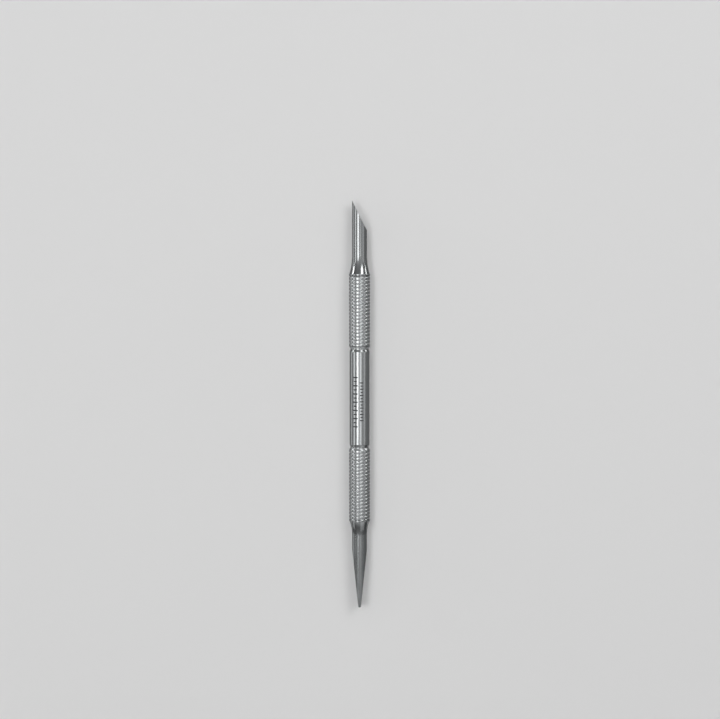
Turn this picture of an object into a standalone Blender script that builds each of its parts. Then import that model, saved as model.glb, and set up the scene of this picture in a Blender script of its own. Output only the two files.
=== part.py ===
"""Double-ended steel cuticle pusher, built from a tubular barrel, two ringed grips and two ground blades.

Metres, +Z up. The tool lies along Y with its rings on the plane Z = 0: the bevelled blade points
towards +Y and the straight blade towards -Y. The ground faces of both blades stand at right angles
to that plane. Each piece is modelled about its own Y axis, which is the axis it was turned on, with
+Y pointing outwards from the middle of the tool.
"""

import math

import bmesh
import bpy
from mathutils import Vector

MM = 0.001

# Turned pieces have flats tangent to the true round, and one flat faces straight down.
SIDES = 32
JOINT_GAP = 0.3 * MM

# Centre barrel: a plain tube with chamfered ends.
BARREL_RADIUS = 3.1 * MM
BARREL_PLAIN_LENGTH = 29.1 * MM
BARREL_CHAMFER_LENGTH = 0.65 * MM
BORE_RADIUS = 2.2 * MM
MOUTH_CHAMFER = 0.2 * MM

# Ringed grips: a row of turned rings between the collar of the blade and the waisted neck.
RING_COUNT = 20
RING_PITCH = 1.09 * MM
RING_LAND = 0.5 * MM
RING_RADIUS = 3.24 * MM
RING_DEPTH = 0.2 * MM
NECK_RADIUS = 2.86 * MM
NECK_LENGTH = 0.535 * MM
SPIGOT_LENGTH = 8.0 * MM
SOCKET_RADIUS = 1.7 * MM
SOCKET_DEPTH = 11.0 * MM
DRILL_POINT_ANGLE = math.radians(118)

# Blades: a tang, a collar that carries on the row of rings, a flare, and a round rod that is ground.
BLADE_RADIUS = 2.3 * MM
TANG_LENGTH = 10.0 * MM
TANG_CHAMFER = 0.35 * MM
COLLAR_LENGTH = 0.55 * MM
COLLAR_FLANK = 0.1 * MM
COLLAR_RIM_RADIUS = 3.17 * MM
FLARE_STEPS = 6

# Bevelled blade: one oblique flat that runs from the point at -X back to the heel at +X.
BEVELLED_LENGTH = 23.3 * MM
BEVELLED_FLARE = 5.8 * MM
BEVEL_LENGTH = 9.25 * MM

# Straight blade: two flats that meet in a thin chisel nose with broken corners.
STRAIGHT_LENGTH = 27.65 * MM
STRAIGHT_FLARE = 4.4 * MM
WEDGE_LENGTH = 18.1 * MM
NOSE_THICKNESS = 0.76 * MM
NOSE_CHAMFER = 0.2 * MM

# Places along the tool, measured outwards from the middle of the barrel.
BARREL_END = BARREL_PLAIN_LENGTH / 2 + BARREL_CHAMFER_LENGTH
GRIP_LENGTH = NECK_LENGTH + RING_COUNT * RING_PITCH
GRIP_STATION = BARREL_END + JOINT_GAP
BLADE_STATION = GRIP_STATION + GRIP_LENGTH + JOINT_GAP
BARREL_MIDDLE = (STRAIGHT_LENGTH - BEVELLED_LENGTH) / 2

WELD_DISTANCE = 0.000001
SMOOTH_LIMIT = math.radians(25)


def clear_scene():
    for old in list(bpy.data.objects):
        bpy.data.objects.remove(old, do_unlink=True)


def steel(name, grey, roughness):
    """A stainless steel Principled material of its own for one piece."""
    material = bpy.data.materials.new(name)
    material.use_nodes = True
    shader = material.node_tree.nodes["Principled BSDF"]
    shader.inputs["Base Color"].default_value = (grey, grey, grey * 1.01, 1.0)
    shader.inputs["Metallic"].default_value = 1.0
    shader.inputs["Roughness"].default_value = roughness
    return material


def turn(outline, is_ring=False):
    """A bmesh turned about the Y axis from (station, radius) points.

    A solid outline starts and ends on the axis; a ring's outline joins its own start.
    """
    bm = bmesh.new()
    to_corner = 1.0 / math.cos(math.pi / SIDES)
    half_flat = math.pi / SIDES
    verts = []
    for station, radius in outline:
        corner = radius * to_corner
        verts.append(bm.verts.new((corner * math.sin(half_flat), station, corner * math.cos(half_flat))))
    pairs = list(zip(verts, verts[1:]))
    if is_ring:
        pairs.append((verts[-1], verts[0]))
    edges = [bm.edges.new(pair) for pair in pairs]
    bmesh.ops.spin(
        bm,
        geom=verts + edges,
        cent=(0, 0, 0),
        axis=(0, 1, 0),
        angle=2 * math.pi,
        steps=SIDES,
        use_merge=True,
    )
    bmesh.ops.remove_doubles(bm, verts=bm.verts, dist=WELD_DISTANCE)
    bmesh.ops.recalc_face_normals(bm, faces=bm.faces)
    return bm


def grind(bm, flare_end, inner_point, outer_point):
    """Grinds one flat on a blade's rod, through two (x, y) points and at right angles to the XY plane.

    The metal that goes is on the side of the flat that looks towards the blade's end. The flare,
    up to the station flare_end, is left alone.
    """
    start = Vector((inner_point[0], inner_point[1], 0))
    along = Vector((outer_point[0], outer_point[1], 0)) - start
    outside = Vector((along.y, -along.x, 0)).normalized()
    if outside.y < 0:
        outside.negate()
    reach = flare_end - WELD_DISTANCE
    rod_verts = [vert for vert in bm.verts if vert.co.y > reach]
    rod_edges = [edge for edge in bm.edges if all(vert.co.y > reach for vert in edge.verts)]
    rod_faces = [face for face in bm.faces if all(vert.co.y > reach for vert in face.verts)]
    bmesh.ops.bisect_plane(
        bm,
        geom=rod_verts + rod_edges + rod_faces,
        dist=WELD_DISTANCE,
        plane_co=start,
        plane_no=outside,
        clear_outer=True,
    )
    bmesh.ops.holes_fill(bm, edges=bm.edges[:], sides=0)
    bmesh.ops.recalc_face_normals(bm, faces=bm.faces)


def place(name, bm, material, tool, station, points_down=False):
    """Makes the object, puts it at its station on the tool's axis and shades it smooth."""
    mesh = bpy.data.meshes.new(name)
    bm.to_mesh(mesh)
    bm.free()
    mesh.materials.append(material)
    mesh.shade_smooth()
    mesh.set_sharp_from_angle(angle=SMOOTH_LIMIT)
    piece = bpy.data.objects.new(name, mesh)
    bpy.context.scene.collection.objects.link(piece)
    piece.parent = tool
    piece.location = (0, -station if points_down else station, 0)
    piece.rotation_euler = (0, 0, math.pi if points_down else 0)
    return piece


def barrel_outline():
    """The tube: bored through, with each end chamfered down to the neck."""
    end = BARREL_END
    shoulder = BARREL_PLAIN_LENGTH / 2
    return [
        (-end, NECK_RADIUS),
        (-shoulder, BARREL_RADIUS),
        (shoulder, BARREL_RADIUS),
        (end, NECK_RADIUS),
        (end, BORE_RADIUS + MOUTH_CHAMFER),
        (end - MOUTH_CHAMFER, BORE_RADIUS),
        (-end + MOUTH_CHAMFER, BORE_RADIUS),
        (-end, BORE_RADIUS + MOUTH_CHAMFER),
    ]


def ring_points():
    """The grip's outside: for every ring a root and the two edges of its land."""
    root_radius = RING_RADIUS - RING_DEPTH
    flank = (RING_PITCH - RING_LAND) / 2
    points = []
    for number in range(RING_COUNT):
        start = NECK_LENGTH + number * RING_PITCH
        points.append((start, root_radius))
        points.append((start + flank, RING_RADIUS))
        points.append((start + flank + RING_LAND, RING_RADIUS))
    points.append((GRIP_LENGTH, root_radius))
    return points


def grip_outline():
    """The grip: a spigot for the barrel at its inner end, a drilled socket for the tang at its outer end."""
    spigot_radius = BORE_RADIUS - JOINT_GAP
    socket_floor = GRIP_LENGTH - SOCKET_DEPTH
    drill_point = SOCKET_RADIUS / math.tan(DRILL_POINT_ANGLE / 2)
    spigot = [
        (-SPIGOT_LENGTH, 0),
        (-SPIGOT_LENGTH, spigot_radius - TANG_CHAMFER),
        (-SPIGOT_LENGTH + TANG_CHAMFER, spigot_radius),
        (0, spigot_radius),
        (0, NECK_RADIUS),
    ]
    socket = [
        (GRIP_LENGTH, SOCKET_RADIUS + MOUTH_CHAMFER),
        (GRIP_LENGTH - MOUTH_CHAMFER, SOCKET_RADIUS),
        (socket_floor, SOCKET_RADIUS),
        (socket_floor - drill_point, 0),
    ]
    return spigot + ring_points() + socket


def blade_outline(length, flare_length):
    """The blank for either blade: tang, collar, flare that curves in like a trumpet, and round rod."""
    tang_radius = SOCKET_RADIUS - JOINT_GAP
    points = [
        (-TANG_LENGTH, 0),
        (-TANG_LENGTH, tang_radius - TANG_CHAMFER),
        (-TANG_LENGTH + TANG_CHAMFER, tang_radius),
        (0, tang_radius),
        (0, RING_RADIUS - COLLAR_FLANK),
        (COLLAR_FLANK, RING_RADIUS),
        (RING_LAND, RING_RADIUS),
    ]
    for step in range(FLARE_STEPS + 1):
        share = 1 - step / FLARE_STEPS
        radius = BLADE_RADIUS + (COLLAR_RIM_RADIUS - BLADE_RADIUS) * share**2
        points.append((COLLAR_LENGTH + (1 - share) * flare_length, radius))
    points.append((length, BLADE_RADIUS))
    points.append((length, 0))
    return points


def make_bevelled_blade(tool):
    """The oblique flat reaches the rod's -X side exactly at the blade's full length."""
    spare = BLADE_RADIUS
    flare_end = COLLAR_LENGTH + BEVELLED_FLARE
    bm = turn(blade_outline(BEVELLED_LENGTH + spare, BEVELLED_FLARE))
    heel = (BLADE_RADIUS, BEVELLED_LENGTH - BEVEL_LENGTH)
    point = (-BLADE_RADIUS, BEVELLED_LENGTH)
    grind(bm, flare_end, heel, point)
    return place("bevelled_blade", bm, steel("bevelled_blade_steel", 0.6, 0.25), tool, BLADE_STATION)


def make_straight_blade(tool):
    """Two flats form the wedge, and two more break the corners of its nose."""
    flare_end = COLLAR_LENGTH + STRAIGHT_FLARE
    bm = turn(blade_outline(STRAIGHT_LENGTH, STRAIGHT_FLARE))
    half_nose = NOSE_THICKNESS / 2
    for side in (-1, 1):
        root = (side * BLADE_RADIUS, STRAIGHT_LENGTH - WEDGE_LENGTH)
        grind(bm, flare_end, root, (side * half_nose, STRAIGHT_LENGTH))
    for side in (-1, 1):
        flat_edge = (side * half_nose, STRAIGHT_LENGTH - NOSE_CHAMFER)
        nose_edge = (side * (half_nose - NOSE_CHAMFER), STRAIGHT_LENGTH)
        grind(bm, flare_end, flat_edge, nose_edge)
    return place(
        "straight_blade", bm, steel("straight_blade_steel", 0.5, 0.3), tool, BLADE_STATION, points_down=True
    )


def make_tool():
    clear_scene()
    tool = bpy.data.objects.new("tool_axis", None)
    bpy.context.scene.collection.objects.link(tool)
    tool.location = (0, BARREL_MIDDLE, RING_RADIUS)
    place("centre_barrel", turn(barrel_outline(), is_ring=True), steel("barrel_steel", 0.65, 0.2), tool, 0)
    place(
        "bevelled_end_grip", turn(grip_outline()), steel("bevelled_end_grip_steel", 0.6, 0.25), tool, GRIP_STATION
    )
    place(
        "straight_end_grip",
        turn(grip_outline()),
        steel("straight_end_grip_steel", 0.6, 0.25),
        tool,
        GRIP_STATION,
        points_down=True,
    )
    make_bevelled_blade(tool)
    make_straight_blade(tool)


make_tool()
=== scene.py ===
"""Looks for the double-ended steel cuticle pusher.

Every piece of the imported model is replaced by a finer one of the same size: turned pieces with true
round rings and broken edges, blades with ground faces, and stainless steel with its working marks.
Each piece is modelled about its own Y axis with +Y outwards, as it sits in a lathe.
"""

import math

import bmesh
import bpy
from mathutils import Matrix, Vector


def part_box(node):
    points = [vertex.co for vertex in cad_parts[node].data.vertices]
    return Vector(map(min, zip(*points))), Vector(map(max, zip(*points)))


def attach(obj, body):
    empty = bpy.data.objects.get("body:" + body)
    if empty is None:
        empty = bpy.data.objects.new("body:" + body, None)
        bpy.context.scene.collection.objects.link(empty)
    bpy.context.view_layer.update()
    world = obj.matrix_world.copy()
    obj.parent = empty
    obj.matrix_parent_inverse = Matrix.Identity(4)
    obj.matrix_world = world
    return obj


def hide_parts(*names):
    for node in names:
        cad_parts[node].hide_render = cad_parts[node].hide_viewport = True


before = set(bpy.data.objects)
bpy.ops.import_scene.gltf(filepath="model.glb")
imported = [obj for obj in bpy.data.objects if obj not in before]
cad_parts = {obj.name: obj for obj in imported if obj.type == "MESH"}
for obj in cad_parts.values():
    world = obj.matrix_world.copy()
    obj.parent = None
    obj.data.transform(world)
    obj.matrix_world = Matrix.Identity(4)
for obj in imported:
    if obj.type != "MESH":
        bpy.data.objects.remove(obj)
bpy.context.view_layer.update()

MM = 0.001

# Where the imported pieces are.
barrel_low, barrel_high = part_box("centre_barrel")
grip_low, grip_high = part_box("bevelled_end_grip")
bevelled_low, bevelled_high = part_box("bevelled_blade")
straight_low, straight_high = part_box("straight_blade")
AXIS_HEIGHT = (grip_low.z + grip_high.z) / 2
BARREL_MIDDLE = (barrel_low.y + barrel_high.y) / 2
BARREL_END = (barrel_high.y - barrel_low.y) / 2
BARREL_RADIUS = (barrel_high.z - barrel_low.z) / 2
RING_RADIUS = (grip_high.z - grip_low.z) / 2

# The turned shapes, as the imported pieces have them, but with grooves a little narrower and shallower.
HAIRLINE = 0.02 * MM
JOINT_GAP = 0.3 * MM
SEAM = (JOINT_GAP - HAIRLINE) / 2
BARREL_CHAMFER_LENGTH = 0.65 * MM
BORE_RADIUS = 2.2 * MM
MOUTH_CHAMFER = 0.2 * MM
NECK_RADIUS = 2.86 * MM
NECK_LENGTH = 0.535 * MM
RING_COUNT = 20
RING_PITCH = 1.09 * MM
RING_DEPTH = 0.15 * MM
RING_LAND = 0.62 * MM
RING_CROWN = 0.006 * MM
RING_EASE = 0.04 * MM
GROOVE_EASE = 0.02 * MM
GROOVE_RADIUS = RING_RADIUS - RING_DEPTH
SPIGOT_LENGTH = 8.0 * MM
SPIGOT_RADIUS = 1.9 * MM
SPIGOT_CHAMFER = 0.3 * MM
SOCKET_RADIUS = 1.7 * MM
SOCKET_DEPTH = 11.0 * MM
DRILL_POINT = 1.0 * MM
TANG_LENGTH = 10.0 * MM
TANG_RADIUS = 1.4 * MM
TANG_CHAMFER = 0.35 * MM
COLLAR_CREST = 0.26 * MM
COLLAR_EDGE = 0.44 * MM
COLLAR_LENGTH = 0.55 * MM
COLLAR_RIM_RADIUS = 3.17 * MM
BLADE_RADIUS = 2.3 * MM
BEVELLED_FLARE = 5.8 * MM
BEVEL_LENGTH = 9.25 * MM
BEVEL_HOLLOW = 0.11 * MM
STRAIGHT_FLARE = 4.4 * MM
WEDGE_LENGTH = 18.1 * MM
NOSE_HALF = 0.38 * MM
NOSE_ROUND = 0.34 * MM
NOSE_DROP = 0.16 * MM
GRIP_LENGTH = NECK_LENGTH + RING_COUNT * RING_PITCH
GRIP_STATION = BARREL_END + JOINT_GAP
BLADE_STATION = GRIP_STATION + GRIP_LENGTH + JOINT_GAP
BEVELLED_LENGTH = bevelled_high.y - BARREL_MIDDLE - BLADE_STATION
STRAIGHT_LENGTH = BARREL_MIDDLE - straight_low.y - BLADE_STATION

# How finely the shapes are divided.
TURNS = 144
FILLET_STEPS = 4
NECK_STEPS = 16
COLLAR_STEPS = 8
FLARE_STEPS = 28
GROUND_STEPS = 110
NOSE_STEPS = 12
FLAT_STEPS = 12
CORNER_STEPS = 5
ARC_STEPS = 63
EDGE_ROUND = 0.05 * MM
LEAST_CORNER = math.radians(20)
SHARP_ANGLE = math.radians(38)

# The camera looks at a point past the middle of the barrel, on the way to the bevelled blade.
CAMERA_LENS = 80.2
CAMERA_TILT = math.radians(4)
CAMERA_DISTANCE = 500 * MM
CAMERA_PAST_MIDDLE = 12.04 * MM
CAMERA_ASIDE = 0.13 * MM


def make_camera():
    """Above the tool and a little towards its bevelled end, as a product is photographed on a table."""
    data = bpy.data.cameras.new("camera")
    data.sensor_width = 36
    data.lens = CAMERA_LENS
    data.clip_start = 0.01
    data.clip_end = 20
    data.dof.use_dof = False
    camera = bpy.data.objects.new("camera", data)
    bpy.context.scene.collection.objects.link(camera)
    target = Vector((CAMERA_ASIDE, BARREL_MIDDLE + CAMERA_PAST_MIDDLE, AXIS_HEIGHT))
    back = Vector((0, math.sin(CAMERA_TILT), math.cos(CAMERA_TILT)))
    camera.location = target + back * CAMERA_DISTANCE
    camera.rotation_euler = (-CAMERA_TILT, 0, 0)
    bpy.context.scene.camera = camera


# Shapes


def rounded(corners, is_ring=False):
    """(station, radius, setback) corners as a finer outline, each corner eased over its setback."""
    points = []
    count = len(corners)
    for index, (station, radius, setback) in enumerate(corners):
        here = Vector((station, radius))
        is_end = index in (0, count - 1) and not is_ring
        if is_end or not setback:
            points.append(here)
            continue
        back = (Vector(corners[index - 1][:2]) - here).normalized()
        ahead = (Vector(corners[(index + 1) % count][:2]) - here).normalized()
        points.append(here + back * setback * 1.6)
        for step in range(FILLET_STEPS + 1):
            t = step / FILLET_STEPS
            points.append(here + back * setback * (1 - t) ** 2 + ahead * setback * t**2)
        points.append(here + ahead * setback * 1.6)
    return [(point.x, point.y) for point in points]


def make_piece(name, verts, faces, node, station, points_down, finish):
    """Makes a piece, puts it on the tool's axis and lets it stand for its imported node."""
    mesh = bpy.data.meshes.new(name)
    mesh.from_pydata(verts, [], faces)
    bm = bmesh.new()
    bm.from_mesh(mesh)
    bmesh.ops.recalc_face_normals(bm, faces=bm.faces)
    bm.to_mesh(mesh)
    bm.free()
    mesh.shade_smooth()
    mesh.set_sharp_from_angle(angle=SHARP_ANGLE)
    mesh.materials.append(finish)
    piece = bpy.data.objects.new(name, mesh)
    bpy.context.scene.collection.objects.link(piece)
    piece.location = (0, BARREL_MIDDLE + (-station if points_down else station), AXIS_HEIGHT)
    piece.rotation_euler = (0, 0, math.pi if points_down else 0)
    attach(piece, "root")
    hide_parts(node)
    return piece


def join_rows(rows, is_ring=False):
    """Faces between rows of vertex numbers; a row of one vertex is a pole. Open ends get a flat cap."""
    faces = []
    pairs = list(zip(rows, rows[1:]))
    if is_ring:
        pairs.append((rows[-1], rows[0]))
    for low, high in pairs:
        count = max(len(low), len(high))
        for k in range(count):
            n = (k + 1) % count
            if len(low) == 1:
                faces.append((low[0], high[k], high[n]))
            elif len(high) == 1:
                faces.append((low[k], high[0], low[n]))
            else:
                faces.append((low[k], high[k], high[n], low[n]))
    if not is_ring:
        faces += [row for row in (rows[0], rows[-1]) if len(row) > 1]
    return faces


def turned(outline, is_ring=False):
    """Vertices and faces of an outline of (station, radius) points turned about the Y axis."""
    verts = []
    rows = []
    for station, radius in outline:
        first = len(verts)
        if radius < HAIRLINE / 4:
            verts.append((0, station, 0))
        else:
            for k in range(TURNS):
                angle = 2 * math.pi * k / TURNS
                verts.append((radius * math.sin(angle), station, radius * math.cos(angle)))
        rows.append(list(range(first, len(verts))))
    return verts, join_rows(rows, is_ring)


def make_barrel(finish):
    end = BARREL_END + SEAM
    shoulder = BARREL_END - BARREL_CHAMFER_LENGTH
    half = [
        (shoulder, BARREL_RADIUS, 0.09 * MM),
        (BARREL_END, NECK_RADIUS, 0.05 * MM),
        (end, NECK_RADIUS, 0.02 * MM),
        (end, BORE_RADIUS + MOUTH_CHAMFER, 0.03 * MM),
        (end - MOUTH_CHAMFER, BORE_RADIUS, 0.05 * MM),
    ]
    corners = [(-y, r, f) for y, r, f in reversed(half[:4])]
    corners += half
    corners.append((-end + MOUTH_CHAMFER, BORE_RADIUS, 0.05 * MM))
    verts, faces = turned(rounded(corners, is_ring=True), is_ring=True)
    make_piece("barrel_tube", verts, faces, "centre_barrel", 0, False, finish)


def ring_outline():
    """Twenty turned rings, as corners: slightly crowned lands between V-shaped grooves."""
    corners = []
    for number in range(RING_COUNT):
        crest = NECK_LENGTH + (number + 0.5) * RING_PITCH
        half_land = RING_LAND / 2
        if number:
            corners.append((crest - half_land, RING_RADIUS - RING_CROWN, RING_EASE))
            corners.append((crest, RING_RADIUS, 0.5 * half_land))
        else:
            corners.append((crest, RING_RADIUS, 0))
        corners.append((crest + half_land, RING_RADIUS - RING_CROWN, RING_EASE))
        corners.append((crest + RING_PITCH / 2, GROOVE_RADIUS, GROOVE_EASE))
    return rounded(corners)


def neck_outline():
    """The end of the neck, and the round shoulder that rises from it to the first crest."""
    foot = 0.13 * MM
    crest = NECK_LENGTH + RING_PITCH / 2
    points = []
    for step in range(NECK_STEPS):
        off_crest = 1 - step / NECK_STEPS
        drop = (RING_RADIUS - NECK_RADIUS) * (off_crest**2.6 - 0.1 * off_crest**16)
        points.append((crest - (crest - foot) * off_crest, RING_RADIUS - drop))
    return points


def make_grip(name, node, points_down, finish):
    inner = rounded(
        [
            (-SPIGOT_LENGTH, 0, 0),
            (-SPIGOT_LENGTH, SPIGOT_RADIUS - SPIGOT_CHAMFER, 0.05 * MM),
            (-SPIGOT_LENGTH + SPIGOT_CHAMFER, SPIGOT_RADIUS, 0.1 * MM),
            (-SEAM, SPIGOT_RADIUS, 0.1 * MM),
            (-SEAM, NECK_RADIUS, 0.02 * MM),
            (0.08 * MM, NECK_RADIUS, 0.02 * MM),
            (0.15 * MM, NECK_RADIUS + 0.05 * MM, 0),
        ]
    )
    socket_floor = GRIP_LENGTH - SOCKET_DEPTH
    socket = rounded(
        [
            (GRIP_LENGTH, GROOVE_RADIUS, 0),
            (GRIP_LENGTH, SOCKET_RADIUS + MOUTH_CHAMFER, 0.03 * MM),
            (GRIP_LENGTH - MOUTH_CHAMFER, SOCKET_RADIUS, 0.05 * MM),
            (socket_floor, SOCKET_RADIUS, 0.1 * MM),
            (socket_floor - DRILL_POINT, 0, 0),
        ]
    )
    outline = inner[:-1] + neck_outline() + ring_outline() + socket[1:]
    verts, faces = turned(outline)
    make_piece(name, verts, faces, node, GRIP_STATION, points_down, finish)


def soft_min(a, b):
    """The smaller of two lengths, eased where they are nearly equal."""
    reach = 0.02 * MM
    h = max(reach - abs(a - b), 0) / reach
    return min(a, b) - h * h * reach / 4


def side_points(radius, limit, end_angle):
    """(x, z) points up one side of a rod's section whose +X side is ground flat at x = limit.

    They run from the middle of the flat, round its broken edge and on along the arc to end_angle.
    """
    cut = math.acos(max(-1, min(1, limit / radius)))
    corner = max(cut, LEAST_CORNER)
    half_flat = radius * math.sin(corner)
    edge = min(EDGE_ROUND, 0.4 * half_flat, 0.4 * radius * (end_angle - corner))
    points = []
    for step in range(FLAT_STEPS):
        z = (half_flat - edge) * (1 - (1 - step / FLAT_STEPS) ** 2)
        points.append((soft_min(math.sqrt(radius**2 - z**2), limit), z))
    arc_start = corner + edge / radius
    for step in range(CORNER_STEPS):
        t = step / CORNER_STEPS
        if cut < LEAST_CORNER:
            angle_from = math.asin((half_flat - edge) / radius)
            angle = angle_from + (arc_start - angle_from) * t
            x = soft_min(radius * math.cos(angle), limit)
            points.append((x, radius * math.sin(angle)))
        else:
            x = (1 - t**2) * limit + t**2 * radius * math.cos(arc_start)
            z = (1 - t) ** 2 * (half_flat - edge) + 2 * t * (1 - t) * half_flat
            points.append((x, z + t**2 * radius * math.sin(arc_start)))
    for step in range(ARC_STEPS + 1):
        angle = arc_start + (end_angle - arc_start) * step / ARC_STEPS
        points.append((soft_min(radius * math.cos(angle), limit), radius * math.sin(angle)))
    return points


def ground_section(radius, limit, is_wedge):
    """The whole section as (x, z) points: a bevel has one flat, a wedge has two."""
    if is_wedge:
        quarter = side_points(radius, limit, math.pi / 2)
        upper = quarter + [(-x, z) for x, z in reversed(quarter[:-1])]
    else:
        upper = side_points(radius, limit, math.pi)
    return upper + [(x, -z) for x, z in reversed(upper[1:-1])]


def blank_stations(flare_length, rod_end):
    """(station, radius) of the blank before it is ground: tang, collar, flare and round rod."""
    start = -JOINT_GAP + HAIRLINE
    stations = rounded(
        [
            (-TANG_LENGTH, TANG_RADIUS - TANG_CHAMFER, 0),
            (-TANG_LENGTH + TANG_CHAMFER, TANG_RADIUS, 0.1 * MM),
            (start, TANG_RADIUS, 0.05 * MM),
            (start, GROOVE_RADIUS, 0),
        ]
    )
    for step in range(1, COLLAR_STEPS):
        off_crest = 1 - step / COLLAR_STEPS
        station = COLLAR_CREST - (COLLAR_CREST - start) * off_crest
        stations.append((station, RING_RADIUS - RING_DEPTH * off_crest**2.1))
    stations += rounded(
        [
            (COLLAR_CREST, RING_RADIUS, 0),
            (COLLAR_EDGE, RING_RADIUS - 0.005 * MM, 0.025 * MM),
            (COLLAR_LENGTH, COLLAR_RIM_RADIUS, 0.02 * MM),
            (COLLAR_LENGTH + 0.06 * MM, COLLAR_RIM_RADIUS - 0.018 * MM, 0),
        ]
    )
    for step in range(1, FLARE_STEPS + 1):
        share = 1 - step / FLARE_STEPS
        radius = BLADE_RADIUS + (COLLAR_RIM_RADIUS - BLADE_RADIUS) * share**2
        stations.append((COLLAR_LENGTH + (1 - share) * flare_length, radius))
    stations.append((rod_end, BLADE_RADIUS))
    return stations


def make_blade(name, node, stations, is_wedge, points_down, finish):
    verts = []
    rows = []
    for station, radius, limit in stations:
        first = len(verts)
        verts += [(x, station, z) for x, z in ground_section(radius, limit, is_wedge)]
        rows.append(list(range(first, len(verts))))
    faces = join_rows(rows)
    make_piece(name, verts, faces, node, BLADE_STATION, points_down, finish)


def make_bevelled_blade(finish):
    heel = BEVELLED_LENGTH - BEVEL_LENGTH
    unground = 2 * RING_RADIUS
    stations = [(y, r, unground) for y, r in blank_stations(BEVELLED_FLARE, heel - 0.3 * MM)]
    for step in range(GROUND_STEPS):
        along = (1 - math.cos(math.pi * step / GROUND_STEPS)) / 2
        hollow = BEVEL_HOLLOW * 4 * along * (1 - along)
        limit = BLADE_RADIUS * (1 - 2 * along) - hollow
        stations.append((heel + BEVEL_LENGTH * along, BLADE_RADIUS, limit))
    make_blade("bevel_ground_blade", "bevelled_blade", stations, False, False, finish)


def make_straight_blade(finish):
    root = STRAIGHT_LENGTH - WEDGE_LENGTH
    unground = 2 * RING_RADIUS
    stations = [(y, r, unground) for y, r in blank_stations(STRAIGHT_FLARE, root - 0.3 * MM)]
    nose = STRAIGHT_LENGTH - NOSE_ROUND
    for step in range(GROUND_STEPS + 1):
        along = step / GROUND_STEPS
        station = root + (nose - root) * (along + along**2) / 2
        share = (station - root) / WEDGE_LENGTH
        stations.append((station, BLADE_RADIUS, BLADE_RADIUS + (NOSE_HALF - BLADE_RADIUS) * share))
    nose_half = stations[-1][2]
    for step in range(1, NOSE_STEPS):
        angle = math.pi / 2 * step / NOSE_STEPS
        station = nose + NOSE_ROUND * math.sin(angle)
        height = BLADE_RADIUS - NOSE_DROP * (1 - math.cos(angle))
        stations.append((station, height, nose_half * math.cos(angle) ** 0.8))
    make_blade("wedge_ground_blade", "straight_blade", stations, True, True, finish)


# Finishes


def add_node(tree, kind, sockets=None, **settings):
    """A new node. A socket that is given another socket is linked to it; any other value is set."""
    node = tree.nodes.new(kind)
    for key, value in settings.items():
        setattr(node, key, value)
    for key, value in (sockets or {}).items():
        if isinstance(value, bpy.types.NodeSocket):
            tree.links.new(value, node.inputs[key])
        else:
            node.inputs[key].default_value = value
    return node


def add_ramp(tree, value, low, high, start, end):
    """value from low to high, as start to end with eased ends."""
    sockets = {"Value": value, "From Min": low, "From Max": high, "To Min": start, "To Max": end}
    return add_node(tree, "ShaderNodeMapRange", sockets, interpolation_type="SMOOTHSTEP").outputs[0]


class Finish:
    """A stainless steel material, and the nodes that draw its marks in the piece's own millimetres."""

    def __init__(self, name, roughness, anisotropy):
        self.material = bpy.data.materials.new(name)
        self.material.use_nodes = True
        self.tree = self.material.node_tree
        self.shader = self.tree.nodes["Principled BSDF"]
        self.shader.inputs["Metallic"].default_value = 1.0
        self.shader.inputs["Roughness"].default_value = roughness
        self.shader.inputs["Anisotropic"].default_value = anisotropy
        place = self.add("ShaderNodeTexCoord").outputs["Object"]
        self.place = self.vector("MULTIPLY", place, (1000, 1000, 1000))
        parts = self.add("ShaderNodeSeparateXYZ", {0: self.place})
        self.x, self.y, self.z = parts.outputs
        around = self.math("POWER", self.x, 2)
        upward = self.math("POWER", self.z, 2)
        self.radius = self.math("SQRT", self.math("ADD", around, upward))

    def add(self, kind, sockets=None, **settings):
        return add_node(self.tree, kind, sockets, **settings)

    def math(self, operation, first, second=0.0):
        return self.add("ShaderNodeMath", {0: first, 1: second}, operation=operation).outputs[0]

    def vector(self, operation, first, second):
        return self.add("ShaderNodeVectorMath", {0: first, 1: second}, operation=operation).outputs[0]

    def ramp(self, value, low, high, start=0.0, end=1.0):
        return add_ramp(self.tree, value, low, high, start, end)

    def noise(self, stretch, detail=2.0, roughness=0.5):
        """Noise whose grain is stretched: each number is how many grains go into one millimetre."""
        place = self.vector("MULTIPLY", self.place, stretch)
        sockets = {"Vector": place, "Scale": 1.0, "Detail": detail, "Roughness": roughness}
        return self.add("ShaderNodeTexNoise", sockets).outputs[0]

    def mix(self, factor, first, second):
        """first where factor is 0, second where it is 1."""
        sockets = {"Factor": factor, "A": first, "B": second}
        return self.add("ShaderNodeMix", sockets).outputs[0]

    def grey(self, value):
        """A steel colour of that brightness: a grey that is a little cool."""
        sockets = {"Red": self.math("MULTIPLY", value, 0.965), "Green": value}
        sockets["Blue"] = self.math("MULTIPLY", value, 1.012)
        return self.add("ShaderNodeCombineColor", sockets).outputs[0]

    def finish(self, colour, roughness, height, depth, along_axis=True):
        """Links the results: height from 0 to 1 is depth metres of relief."""
        self.tree.links.new(self.grey(colour), self.shader.inputs["Base Color"])
        self.tree.links.new(roughness, self.shader.inputs["Roughness"])
        bump = self.add("ShaderNodeBump", {"Height": height, "Distance": depth, "Strength": 1.0})
        self.tree.links.new(bump.outputs[0], self.shader.inputs["Normal"])
        if along_axis:
            tangent = self.add("ShaderNodeTangent", direction_type="RADIAL", axis="Y")
            self.tree.links.new(tangent.outputs[0], self.shader.inputs["Tangent"])
        return self.material


# Rows of engraved ticks, in millimetres: place round the barrel, half height, place of the row's middle
# along the tool, half length of the row, pitch and width.
TICK_ROWS = (
    (-1.38, 0.78, 1.1, 8.6, 1.28, 0.36),
    (0.65, 0.55, 1.25, 6.2, 0.98, 0.3),
)


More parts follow.
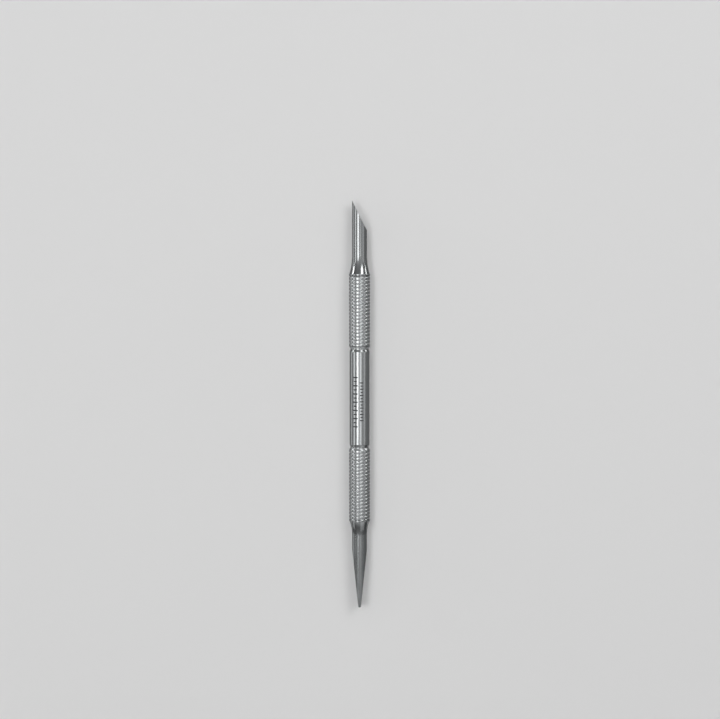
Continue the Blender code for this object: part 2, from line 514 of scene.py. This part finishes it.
def barrel_finish():
    """Polished steel with turning marks, faint handling marks and two engraved rows of ticks."""
    steel = Finish("barrel_steel_fine", 0.16, 0.3)
    turning = steel.noise((0.15, 14, 0.15), 3.0)
    cloud = steel.noise((0.35, 0.16, 0.35), 3.0, 0.6)
    scuffs = steel.ramp(steel.noise((1.6, 0.5, 1.6), 4.0, 0.7), 0.62, 0.8)
    angle = steel.math("ARCTAN2", steel.x, steel.z)
    arc = steel.math("MULTIPLY", angle, BARREL_RADIUS / MM)
    marks = None
    for centre, half, middle, reach, pitch, width in TICK_ROWS:
        beside = steel.math("ABSOLUTE", steel.math("SUBTRACT", arc, centre))
        along = steel.math("SUBTRACT", steel.y, middle - BARREL_MIDDLE / MM)
        phase = steel.math("PINGPONG", along, pitch / 2)
        tall = steel.math("PINGPONG", along, pitch)
        height = steel.ramp(tall, pitch * 0.4, pitch * 0.6, half, half * 0.62)
        tick = steel.ramp(phase, width / 2 + 0.04, width / 2 - 0.04)
        past_end = steel.math("SUBTRACT", beside, height)
        tick = steel.math("MULTIPLY", tick, steel.ramp(past_end, 0.03, -0.03))
        inside = steel.ramp(steel.math("ABSOLUTE", along), reach + 0.02, reach - 0.02)
        row = steel.math("MULTIPLY", tick, inside)
        marks = row if marks is None else steel.math("MAXIMUM", marks, row)
    outside = steel.ramp(steel.radius, 2.6, 2.7)
    marks = steel.math("MULTIPLY", marks, outside)
    colour = steel.mix(cloud, 0.56, 0.64)
    colour = steel.mix(marks, colour, steel.mix(scuffs, 0.1, 0.22))
    roughness = steel.mix(cloud, 0.13, 0.22)
    roughness = steel.math("ADD", roughness, steel.math("MULTIPLY", turning, 0.05))
    roughness = steel.math("ADD", roughness, steel.math("MULTIPLY", scuffs, 0.08))
    roughness = steel.mix(marks, roughness, 0.5)
    height = steel.math("SUBTRACT", turning, steel.math("MULTIPLY", marks, 3.0))
    return steel.finish(colour, roughness, height, 0.0012 * MM)


def grip_finish():
    """Turned rings: smoother crests, and grooves that stay a little rougher and carry painted shade, a
    darker blotchy colour.
    """
    steel = Finish("grip_steel_fine", 0.22, 0.3)
    turning = steel.noise((0.2, 22, 0.2), 3.0)
    cloud = steel.noise((0.5, 0.25, 0.5), 3.0, 0.6)
    # Painted shade: the grooves between the rings are coloured darker and blotchier than the crests,
    # standing in for the shade that falls in them; their greater roughness is real.
    crest = steel.ramp(steel.radius, GROOVE_RADIUS / MM + 0.02, RING_RADIUS / MM - 0.02)
    groove_shade_noise = steel.noise((2.2, 1.1, 2.2), 3.0)
    colour = steel.mix(crest, steel.mix(groove_shade_noise, 0.62, 0.74), steel.mix(cloud, 0.66, 0.74))
    roughness = steel.mix(crest, 0.22, steel.mix(cloud, 0.17, 0.24))
    roughness = steel.math("ADD", roughness, steel.math("MULTIPLY", turning, 0.05))
    return steel.finish(colour, roughness, turning, 0.0014 * MM)


def blade_finish():
    """Drawn and polished rod, with fine lengthwise scratches on the faces that were ground."""
    steel = Finish("blade_steel_fine", 0.18, 0.0)
    drawn = steel.noise((9, 0.12, 9), 3.0)
    lathe = steel.noise((0.2, 16, 0.2), 3.0)
    cloud = steel.noise((0.4, 0.2, 0.4), 3.0, 0.6)
    on_rod = steel.ramp(steel.radius, BLADE_RADIUS / MM + 0.02, BLADE_RADIUS / MM + 0.2)
    on_flat = steel.ramp(steel.radius, BLADE_RADIUS / MM - 0.02, BLADE_RADIUS / MM - 0.05)
    scratches = steel.noise((0.2, 0.25, 26), 4.0, 0.65)
    colour = steel.mix(cloud, 0.52, 0.6)
    colour = steel.math("MULTIPLY", colour, steel.mix(on_flat, 1.0, steel.mix(scratches, 0.86, 1.04)))
    roughness = steel.mix(cloud, 0.14, 0.22)
    roughness = steel.mix(on_flat, roughness, steel.mix(scratches, 0.18, 0.32))
    height = steel.mix(on_rod, drawn, lathe)
    height = steel.mix(on_flat, height, scratches)
    return steel.finish(colour, roughness, height, 0.0012 * MM, along_axis=False)


# Studio

LIGHT_DISTANCE = 0.8

# How bright the studio is along Y, from the direction of -Y to that of +Y.
WORLD_BANDS = (
    (-0.8, 0.34),
    (-0.6, 0.12),
    (-0.27, 0.2),
    (-0.14, 0.37),
    (0.12, 0.37),
    (0.36, 0.2),
    (0.52, 0.18),
    (0.7, 0.36),
)


def area_light(name, width, length, radiance):
    """A rectangular light that the camera doesn't see, with the same radiance whatever its size."""
    data = bpy.data.lights.new(name, "AREA")
    data.shape = "RECTANGLE"
    data.size = width
    data.size_y = length
    data.energy = 4 * width * length * radiance
    light = bpy.data.objects.new(name, data)
    bpy.context.scene.collection.objects.link(light)
    light.visible_camera = False
    return light


def strip(name, first_angle, last_angle, radiance, y_low, y_high):
    """A long light beside the tool and parallel to it; its angles are from straight up towards +X."""
    middle = math.radians((first_angle + last_angle) / 2)
    half = math.radians((last_angle - first_angle) / 2)
    light = area_light(name, 2 * LIGHT_DISTANCE * math.tan(half), y_high - y_low, radiance)
    height = LIGHT_DISTANCE * math.cos(middle) + AXIS_HEIGHT
    light.location = (LIGHT_DISTANCE * math.sin(middle), (y_low + y_high) / 2, height)
    light.rotation_euler = (0, middle, 0)


def mirrored(lean, slope):
    """Where the camera's view goes from steel that leans to the side and slopes to +Y, in degrees."""
    lean, slope = math.radians(lean), math.radians(slope)
    upward = math.cos(slope)
    facing = Vector((math.sin(lean) * upward, math.sin(slope), math.cos(lean) * upward))
    return 2 * facing.z * facing - Vector((0, 0, 1))


def bar(name, lean, first_slope, last_slope, width, radiance):
    """A light a metre off that shows on steel of that lean, from the first slope to the last."""
    start = mirrored(lean, first_slope)
    end = mirrored(lean, last_slope)
    along = end - start
    across = along.cross(start + end).normalized()
    away = across.cross(along).normalized()
    turn = Matrix((across, along.normalized(), away)).transposed()
    light = area_light(name, width, along.length, radiance)
    light.matrix_world = Matrix.Translation((start + end) / 2) @ turn.to_4x4()


def panel(name, place, width, length, radiance):
    """A softbox that faces the tool."""
    light = area_light(name, width, length, radiance)
    light.location = place
    facing = Vector((0, BARREL_MIDDLE, AXIS_HEIGHT)) - light.location
    light.rotation_euler = facing.to_track_quat("-Z", "Y").to_euler()
    return light


def make_lights():
    strip("main_strip", -31, -14.5, 1.68, -0.15, 0.15)
    strip("left_strip", -72, -58, 0.84, -0.16, 0.2)
    strip("low_left_strip", -117, -98, 0.36, -0.25, 0.25)
    strip("right_strip", 2, 21, 0.64, -0.15, 0.04)
    strip("far_right_strip", 48, 69, 0.27, -0.16, 0.2)
    strip("foot_left_strip", -104, -76, 0.3, -1.3, -0.45)
    strip("foot_right_strip", 12, 72, 0.16, -1.3, -0.45)
    bar("left_end_bar", -40.5, 11, 17, 0.19, 3.6)
    bar("left_groove_bar", -42, 16, 40, 0.24, 1.05)
    bar("middle_end_bar", 15.5, 11, 17, 0.38, 2.3)
    bar("middle_groove_bar", 10, 16, 33, 0.29, 0.8)
    bar("right_end_bar", 41, 11, 17, 0.15, 2.3)
    bar("right_groove_bar", 40, 17, 34, 0.18, 1.7)
    panel("far_bounce", (0, 0.8, -0.9), 2.6, 0.8, 0.25)
    panel("near_bounce", (0, -0.8, -0.9), 2.6, 0.8, 0.25)
    panel("end_panel", (-0.26, -0.9, 0.33), 0.16, 0.4, 0.75)
    make_world()


def make_world():
    """Soft light all round, in bands across the tool: brightest overhead and dim towards the sides."""
    world = bpy.data.worlds.new("studio")
    world.use_nodes = True
    tree = world.node_tree
    direction = add_node(tree, "ShaderNodeTexCoord").outputs["Generated"]
    x, y, z = add_node(tree, "ShaderNodeSeparateXYZ", {0: direction}).outputs
    half_up = add_node(tree, "ShaderNodeMath", {0: y, 1: 0.5, 2: 0.5}, operation="MULTIPLY_ADD")
    bands = add_node(tree, "ShaderNodeValToRGB", {0: half_up.outputs[0]})
    bands.color_ramp.interpolation = "EASE"
    for along, light in WORLD_BANDS:
        stop = bands.color_ramp.elements.new(along / 2 + 0.5)
        stop.color = (light, light, light, 1)
    bands.color_ramp.elements.remove(bands.color_ramp.elements[0])
    bands.color_ramp.elements.remove(bands.color_ramp.elements[-1])
    across = add_node(tree, "ShaderNodeMath", {0: x}, operation="ABSOLUTE").outputs[0]
    beside = add_ramp(tree, across, 0.45, 0.9, 1.0, 0.5)
    below = add_ramp(tree, z, -0.8, -0.1, 0.6, 1.0)
    strength = add_node(tree, "ShaderNodeMath", {0: beside, 1: below}, operation="MULTIPLY").outputs[0]
    background = tree.nodes["Background"]
    tree.links.new(bands.outputs[0], background.inputs["Color"])
    tree.links.new(strength, background.inputs["Strength"])
    bpy.context.scene.world = world


def sheet_of_paper(name, half_size, height, grey):
    """A flat matt square that isn't part of the object."""
    mesh = bpy.data.meshes.new(name)
    corners = ((-1, -1), (1, -1), (1, 1), (-1, 1))
    verts = [(x * half_size, y * half_size, height) for x, y in corners]
    mesh.from_pydata(verts, [], [(0, 1, 2, 3)])
    material = bpy.data.materials.new(name + "_paper")
    material.use_nodes = True
    shader = material.node_tree.nodes["Principled BSDF"]
    shader.inputs["Base Color"].default_value = (grey, grey, grey, 1)
    shader.inputs["Roughness"].default_value = 0.8
    mesh.materials.append(material)
    paper = bpy.data.objects.new(name, mesh)
    bpy.context.scene.collection.objects.link(paper)
    return paper


def make_floor():
    """A pale floor with a light of its own, which the steel doesn't reflect."""
    floor = sheet_of_paper("floor", 3.0, 0, 0.86)
    lamp = panel("floor_light", (-0.5, 0.7, 1.6), 1.2, 1.2, 1.3)
    lit = bpy.data.collections.new("lit_by_floor_light")
    lit.objects.link(floor)
    lamp.light_linking.receiver_collection = lit
    floor.visible_glossy = False
    floor.visible_shadow = False


make_camera()
make_barrel(barrel_finish())
grip_steel = grip_finish()
make_grip("bevelled_end_rings", "bevelled_end_grip", False, grip_steel)
make_grip("straight_end_rings", "straight_end_grip", True, grip_steel)
blade_steel = blade_finish()
make_bevelled_blade(blade_steel)
make_straight_blade(blade_steel)
make_lights()
make_floor()
bpy.context.scene.view_settings.view_transform = "Standard"
